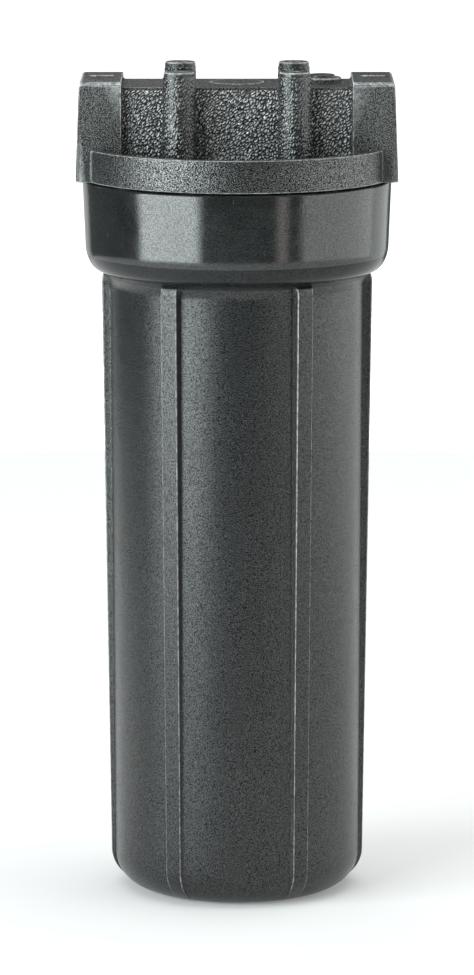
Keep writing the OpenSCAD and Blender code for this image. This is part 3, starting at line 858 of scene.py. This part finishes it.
paint_nodes(sump_satin, "sump")
paint_nodes(head_satin, "head")
paint_nodes(black_rubber, "sump_o_ring", "relief_o_ring")
paint_nodes(button_black, "relief_button")
paint_nodes(spring_wire, "relief_spring", "relief_retainer")
paint_nodes(core_plastic, "cartridge_core", "cartridge_seam_clip")
paint_nodes(filter_felt, "cartridge_pleats")
paint_nodes(net_plastic, "cartridge_sleeve")
paint_nodes(cap_blue, "cartridge_top_cap", "cartridge_bottom_cap")
paint_nodes(gasket_foam, "cartridge_top_gasket", "cartridge_bottom_gasket")


def paint_sump():
    """Satin wall and inside and glossy collar, with duller copies on the neck under the collar and on the
    collar's lower edge as painted shade.
    """
    mesh = sump_shell.data
    satin, gloss, under, neck = range(4)
    for material in (sump_satin, sump_gloss, sump_under_shade, sump_neck_shade):
        mesh.materials.append(material)
    centres = face_centres(mesh)
    r, z = np.hypot(centres[:, 0], centres[:, 1]), centres[:, 2]
    on_collar = (z > collar_under) & (r > neck_r - 0.5)
    # The collar's lower edge and the neck under it take the painted-shade copies.
    on_under = z < collar_side - 0.35 * collar_round_h
    on_neck = (z > neck_z) & (z < collar_under) & (r > wall_high - 0.5)
    kind = np.where(on_collar, np.where(on_under, under, gloss), np.where(on_neck, neck, satin))
    mesh.polygons.foreach_set("material_index", kind.astype(np.int32))


def paint_head():
    """Grainy port blocks and centre block, and satin everywhere else, with the skins and marks to match."""
    mesh = head_shell.data
    mesh.materials.append(head_satin)
    mesh.materials.append(head_grain)
    centres = face_centres(mesh)
    # Each zone has a margin, because smoothing has moved the faces a little.
    x, y, z = np.abs(centres[:, 0]), np.abs(centres[:, 1]), centres[:, 2]
    rim = (np.hypot(x, y) > rim_r - 4.5) & (z < rim_top + 0.6) & (y > block_y - 0.3)
    block = (x > block_x - 0.5) & (y < block_y + 0.1) & (z > rim_z - 0.5)
    web = (y < web_y + 0.5) & (z > rim_top - 6)
    column = np.hypot(x - column_xy, y - column_xy) < column_r + 0.7
    grain = (block | web) & ~column & ~rim
    mesh.polygons.foreach_set("material_index", grain.astype(np.int32))
    for piece in pebbles:
        piece.data.materials.append(column_pebble if "column" in piece.name else head_pebble)
    for piece in rims:
        piece.data.materials.append(head_rim)
    for piece in port_threads:
        piece.data.materials.append(head_satin)
    for piece in marks:
        piece.data.materials.append(head_grain)


paint_sump()
paint_head()


# ---------- pieces inside ----------

def tube(path, radius, sides):
    """Verts and faces of a round tube with flat ends along a path of points, all in millimetres."""
    verts, faces = [], []
    last = len(path) - 1
    for i, point in enumerate(path):
        along = (Vector(path[min(i + 1, last)]) - Vector(path[max(i - 1, 0)])).normalized()
        side = along.cross(Vector((0, 0, 1))).normalized()
        up = side.cross(along)
        for a in full_turn(sides):
            verts.append(Vector(point) + radius * (math.cos(a) * side + math.sin(a) * up))
    for i in range(last):
        for k in range(sides):
            k2 = (k + 1) % sides
            faces.append([i * sides + k, i * sides + k2, (i + 1) * sides + k2, (i + 1) * sides + k])
    faces.append(list(range(sides - 1, -1, -1)))
    faces.append([last * sides + k for k in range(sides)])
    return verts, faces


def mesh_of(name, shapes, sharp_deg=40):
    """One object from several (verts, faces) in millimetres."""
    all_verts, all_faces = [], []
    for verts, faces in shapes:
        start = len(all_verts)
        all_verts += [tuple(c * MM for c in v) for v in verts]
        all_faces += [[start + i for i in face] for face in faces]
    mesh = bpy.data.meshes.new(name)
    mesh.from_pydata(all_verts, [], all_faces)
    recalc_normals(mesh)
    return add_object(name, mesh, sharp_deg)


def stands_for(piece, node, body, material):
    """Puts a piece in the place of a CAD node, on its body and with its finish."""
    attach(piece, body)
    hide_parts(node)
    piece.data.materials.append(material)


def make_spring():
    """Compression spring with closed end coils and two open coils between them."""
    lo, hi = box_mm("relief_spring")
    wire_r, coils, closed, points_per_coil = 0.25, 3.5, 0.75, 36
    middle = (lo + hi) / 2
    r = (hi.x - lo.x) / 2 - wire_r
    closed_pitch = 2.2 * wire_r
    open_coils = coils - 2 * closed
    open_pitch = (hi.z - lo.z - 2 * wire_r - 2 * closed * closed_pitch) / open_coils
    path = []
    for i in range(int(coils * points_per_coil) + 1):
        u = i / points_per_coil
        climb = closed_pitch * (min(u, closed) + max(u - coils + closed, 0))
        climb += open_pitch * min(max(u - closed, 0), open_coils)
        a = TAU * u
        path.append((middle.x + r * math.cos(a), middle.y + r * math.sin(a), lo.z + wire_r + climb))
    piece = mesh_of("relief_spring_coil", [tube(path, wire_r, 10)])
    stands_for(piece, "relief_spring", "head", spring_wire)
    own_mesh(piece)


def make_button():
    """Button with a domed, shallowly dished top, and its grooved stem."""
    lo, hi = box_mm("relief_button")
    clip_lo, clip_hi = box_mm("relief_retainer")
    middle_x = (lo.x + hi.x) / 2
    r, stem, groove, tip, chamfer, dome = (hi.x - lo.x) / 2, 1.7, 0.5, 0.4, 0.15, 0.6
    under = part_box("relief_spring")[1].z / MM
    profile = [(0, lo.z), (stem - 0.5, lo.z)] + arc(stem - tip, lo.z + tip, tip, -70, 0, 3)
    profile += [(stem, clip_lo.z), (stem - groove, clip_lo.z), (stem - groove, clip_hi.z), (stem, clip_hi.z),
                (stem, under), (r - chamfer, under), (r, under + chamfer)]
    profile += arc(r - dome, hi.z - dome, dome, 0, 90, 6)
    profile += [(r - 1.1, hi.z), (r - 1.5, hi.z - 0.08), (r - 2.1, hi.z - 0.22), (r - 3.2, hi.z - 0.3),
                (0, hi.z - 0.32)]
    mesh = lathe("relief_button_turned", profile, full_turn(72))
    mesh.transform(Matrix.Translation((middle_x * MM, 0, 0)))
    recalc_normals(mesh)
    piece = add_object("relief_button_turned", mesh, 40)
    stands_for(piece, "relief_button", "button", button_black)


def make_sleeve():
    """Extruded net: two layers of strands that cross in diamonds."""
    lo, hi = box_mm("cartridge_sleeve")
    strand_r, count, steepness, apart, steps = 0.34, 34, 1.35, 0.2, 60
    mid = (hi.x - lo.x) / 2 - 2 * strand_r
    bottom, top = lo.z + strand_r, hi.z - strand_r
    turn = (top - bottom) / (steepness * mid)
    shapes = []
    for way, r in ((1, mid - apart), (-1, mid + apart)):
        for start in full_turn(count):
            path = []
            for i in range(steps + 1):
                a = start + way * turn * i / steps
                path.append((r * math.cos(a), r * math.sin(a), bottom + (top - bottom) * i / steps))
            shapes.append(tube(path, strand_r, 5))
    piece = mesh_of("cartridge_net", shapes, 60)
    stands_for(piece, "cartridge_sleeve", "sump", net_plastic)


def make_pleats():
    """Folded medium with rounded folds, as a closed strip that wanders a little between its caps."""
    lo, hi = box_mm("cartridge_pleats")
    count, thick, fold, core_r, rows, sway_mm = 40, 0.6, 0.55, 17.6, 25, 0.2
    fold_degrees = (-90, -50, -15, 15, 50, 90)
    r_out, r_in = (hi.x - lo.x) / 2 - thick / 2, core_r + thick / 2
    half = math.pi / count
    middle_line = []
    for k in range(count):
        for (r, centre, way) in ((r_out - fold, 2 * k, 1), (r_in + fold, 2 * k + 1, -1)):
            for t in fold_degrees:
                a = math.radians(t)
                turn = centre * half
                along, across = way * fold * math.cos(a), way * fold * math.sin(a)
                middle_line.append(((r + along) * math.cos(turn) - way * across * math.sin(turn),
                                    (r + along) * math.sin(turn) + way * across * math.cos(turn)))
    line_xy = np.array(middle_line)
    ahead = np.roll(line_xy, -1, axis=0) - np.roll(line_xy, 1, axis=0)
    normal = np.stack([ahead[:, 1], -ahead[:, 0]], axis=1)
    normal /= np.linalg.norm(normal, axis=1)[:, None]
    tangent = np.stack([-line_xy[:, 1], line_xy[:, 0]], axis=1)
    tangent /= np.linalg.norm(tangent, axis=1)[:, None]
    n = len(line_xy)
    fold_number = np.arange(n) // len(fold_degrees)
    verts, faces = [], []
    for row in range(rows):
        share = row / (rows - 1)
        z = lo.z + (hi.z - lo.z) * share
        sway = sway_mm * math.sin(math.pi * share) * np.sin(9 * share + fold_number * 1.7)
        moved = line_xy + tangent * sway[:, None]
        for side in (1, -1):
            verts += [(x, y, z) for x, y in moved + side * normal * thick / 2]
    for row in range(rows - 1):
        for i in range(n):
            j = (i + 1) % n
            base, up = 2 * n * row, 2 * n * (row + 1)
            faces.append([base + i, base + j, up + j, up + i])
            faces.append([base + n + j, base + n + i, up + n + i, up + n + j])
    last = 2 * n * (rows - 1)
    for i in range(n):
        j = (i + 1) % n
        faces.append([i, n + i, n + j, j])
        faces.append([last + j, last + n + j, last + n + i, last + i])
    piece = mesh_of("cartridge_folds", [(verts, faces)], 60)
    stands_for(piece, "cartridge_pleats", "sump", filter_felt)


def finish_inside(piece):
    """Makes a piece part of the sump's moulding."""
    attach(piece, "sump")
    piece.data.materials.append(sump_satin)


def make_sump_inside():
    """Seat ring for the cartridge, and the fins that centre it, which rise from the sump's floor."""
    fin_count, fin_w, fin_edge, fin_gap = 6, 3, 0.4, 0.7
    seat_r, cartridge_r, cartridge_z = 17.5, 31.75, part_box("cartridge_bottom_gasket")[0].z / MM
    root_z, shelf_z, guide_z, fin_top = floor_t - 0.5, cartridge_z - 2, cartridge_z + 7, cartridge_z + 11
    fin_outline = [(seat_r, root_z), (seat_r, shelf_z), (cartridge_r + fin_gap, shelf_z),
                   (cartridge_r + fin_gap, guide_z), (cartridge_r + fin_gap + 2, fin_top),
                   (bowl_low + 1, fin_top), (bowl_low + 1, floor_t + bowl_round),
                   (bowl_low - bowl_round, root_z)]
    for i, angle in enumerate(full_turn(fin_count)):
        mesh = prism(f"sump_fin_{i + 1}", fin_outline, fin_w, angle)
        recalc_normals(mesh)
        fin = add_object(f"sump_fin_{i + 1}", mesh)
        apply_modifier(fin, "BEVEL", width=fin_edge * MM, segments=2, limit_method="ANGLE")
        finish_inside(fin)
    half_foot, half_neck, half_top, lip_z = 1.2, 0.4, 0.15, cartridge_z - 0.3
    ring = [(seat_r - half_foot, root_z), (seat_r + half_foot, root_z), (seat_r + half_neck, lip_z),
            (seat_r + half_top, cartridge_z), (seat_r - half_top, cartridge_z), (seat_r - half_neck, lip_z)]
    mesh = lathe("sump_seat", ring, full_turn(96), closed=True)
    recalc_normals(mesh)
    finish_inside(add_object("sump_seat", mesh))


make_spring()
make_button()
make_sleeve()
make_pleats()
make_sump_inside()
